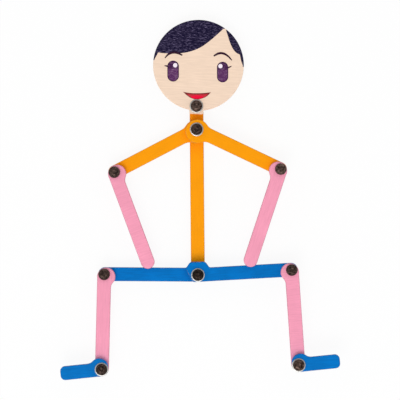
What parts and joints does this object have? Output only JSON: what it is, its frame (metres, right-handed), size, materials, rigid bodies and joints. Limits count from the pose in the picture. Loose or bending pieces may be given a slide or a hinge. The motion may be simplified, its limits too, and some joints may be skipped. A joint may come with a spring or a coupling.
{
  "type": "jointed wooden figure",
  "caption": "Flat posable doll cut from painted plywood: a round head, a bar torso and bar limbs that turn on press rivets and stay where they are put.",
  "frame": {"origin": "middle of the figure's box, at the rear faces of the torso's back caps, on which it lies", "axes": "+Z out of the front of the figure, along every rivet; +Y from hip to head as pictured; +X to the viewer's right"},
  "size_m": [0.1532, 0.198, 0.0201],
  "materials": {
    "orange_paint": "satin",
    "pink_paint": "satin",
    "blue_paint": "satin",
    "skin_paint": "matte",
    "blackened_steel": "satin",
    "nickel_plate": "polished"
  },
  "bodies": {
    "torso": {"torso": "orange_paint", "neck_rivet": "blackened_steel", "neck_front_washer": "nickel_plate", "neck_back_washer": "nickel_plate", "neck_back_cap": "blackened_steel", "shoulder_rivet": "blackened_steel", "shoulder_front_washer": "nickel_plate", "shoulder_back_washer": "nickel_plate", "shoulder_back_cap": "blackened_steel", "hip_rivet": "blackened_steel", "hip_front_washer": "nickel_plate", "hip_back_washer": "nickel_plate", "hip_back_cap": "blackened_steel"},
    "head": {"head": "skin_paint"},
    "left_upper_arm": {"left_upper_arm": "orange_paint", "left_elbow_rivet": "blackened_steel", "left_elbow_front_washer": "nickel_plate", "left_elbow_back_washer": "nickel_plate", "left_elbow_back_cap": "blackened_steel"},
    "left_forearm": {"left_forearm": "pink_paint"},
    "left_thigh": {"left_thigh": "blue_paint", "left_knee_rivet": "blackened_steel", "left_knee_front_washer": "nickel_plate", "left_knee_back_washer": "nickel_plate", "left_knee_back_cap": "blackened_steel"},
    "left_shin": {"left_shin": "pink_paint", "left_ankle_rivet": "blackened_steel", "left_ankle_front_washer": "nickel_plate", "left_ankle_back_washer": "nickel_plate", "left_ankle_back_cap": "blackened_steel"},
    "left_foot": {"left_foot": "blue_paint"},
    "right_upper_arm": {"right_upper_arm": "orange_paint", "right_elbow_rivet": "blackened_steel", "right_elbow_front_washer": "nickel_plate", "right_elbow_back_washer": "nickel_plate", "right_elbow_back_cap": "blackened_steel"},
    "right_forearm": {"right_forearm": "pink_paint"},
    "right_thigh": {"right_thigh": "blue_paint", "right_knee_rivet": "blackened_steel", "right_knee_front_washer": "nickel_plate", "right_knee_back_washer": "nickel_plate", "right_knee_back_cap": "blackened_steel"},
    "right_shin": {"right_shin": "pink_paint", "right_ankle_rivet": "blackened_steel", "right_ankle_front_washer": "nickel_plate", "right_ankle_back_washer": "nickel_plate", "right_ankle_back_cap": "blackened_steel"},
    "right_foot": {"right_foot": "blue_paint"}
  },
  "joints": [
    {"name": "neck", "type": "hinge", "parent": "torso", "child": "head", "pos_m": [-0.00195, 0.05142, 0.0063], "axis": [0, 0, -1], "range_deg": [-30, 30]},
    {"name": "left_shoulder", "type": "hinge", "parent": "torso", "child": "left_upper_arm", "pos_m": [-0.00184, 0.03853, 0.0063], "axis": [0, 0, -1], "range_deg": [-12, 55]},
    {"name": "left_elbow", "type": "hinge", "parent": "left_upper_arm", "child": "left_forearm", "pos_m": [-0.04708, 0.01498, 0.0096], "axis": [0, 0, 1], "range_deg": [-12, 75]},
    {"name": "left_hip", "type": "hinge", "parent": "torso", "child": "left_thigh", "pos_m": [-0.00114, -0.04147, 0.0063], "axis": [0, 0, -1], "range_deg": [-80, 22]},
    {"name": "left_knee", "type": "hinge", "parent": "left_thigh", "child": "left_shin", "pos_m": [-0.05264, -0.04111, 0.0096], "axis": [0, 0, 1], "range_deg": [-120, 55]},
    {"name": "left_ankle", "type": "hinge", "parent": "left_shin", "child": "left_foot", "pos_m": [-0.05391, -0.0931, 0.0129], "axis": [0, 0, -1], "continuous": true},
    {"name": "right_shoulder", "type": "hinge", "parent": "torso", "child": "right_upper_arm", "pos_m": [-0.00184, 0.03853, 0.0096], "axis": [0, 0, 1], "range_deg": [-12, 55]},
    {"name": "right_elbow", "type": "hinge", "parent": "right_upper_arm", "child": "right_forearm", "pos_m": [0.04423, 0.01665, 0.0129], "axis": [0, 0, -1], "range_deg": [-12, 75]},
    {"name": "right_hip", "type": "hinge", "parent": "torso", "child": "right_thigh", "pos_m": [-0.00114, -0.04147, 0.0096], "axis": [0, 0, 1], "range_deg": [-80, 22]},
    {"name": "right_knee", "type": "hinge", "parent": "right_thigh", "child": "right_shin", "pos_m": [0.05028, -0.0386, 0.0129], "axis": [0, 0, -1], "range_deg": [-120, 55]},
    {"name": "right_ankle", "type": "hinge", "parent": "right_shin", "child": "right_foot", "pos_m": [0.05391, -0.09047, 0.0162], "axis": [0, 0, 1], "continuous": true}
  ]
}
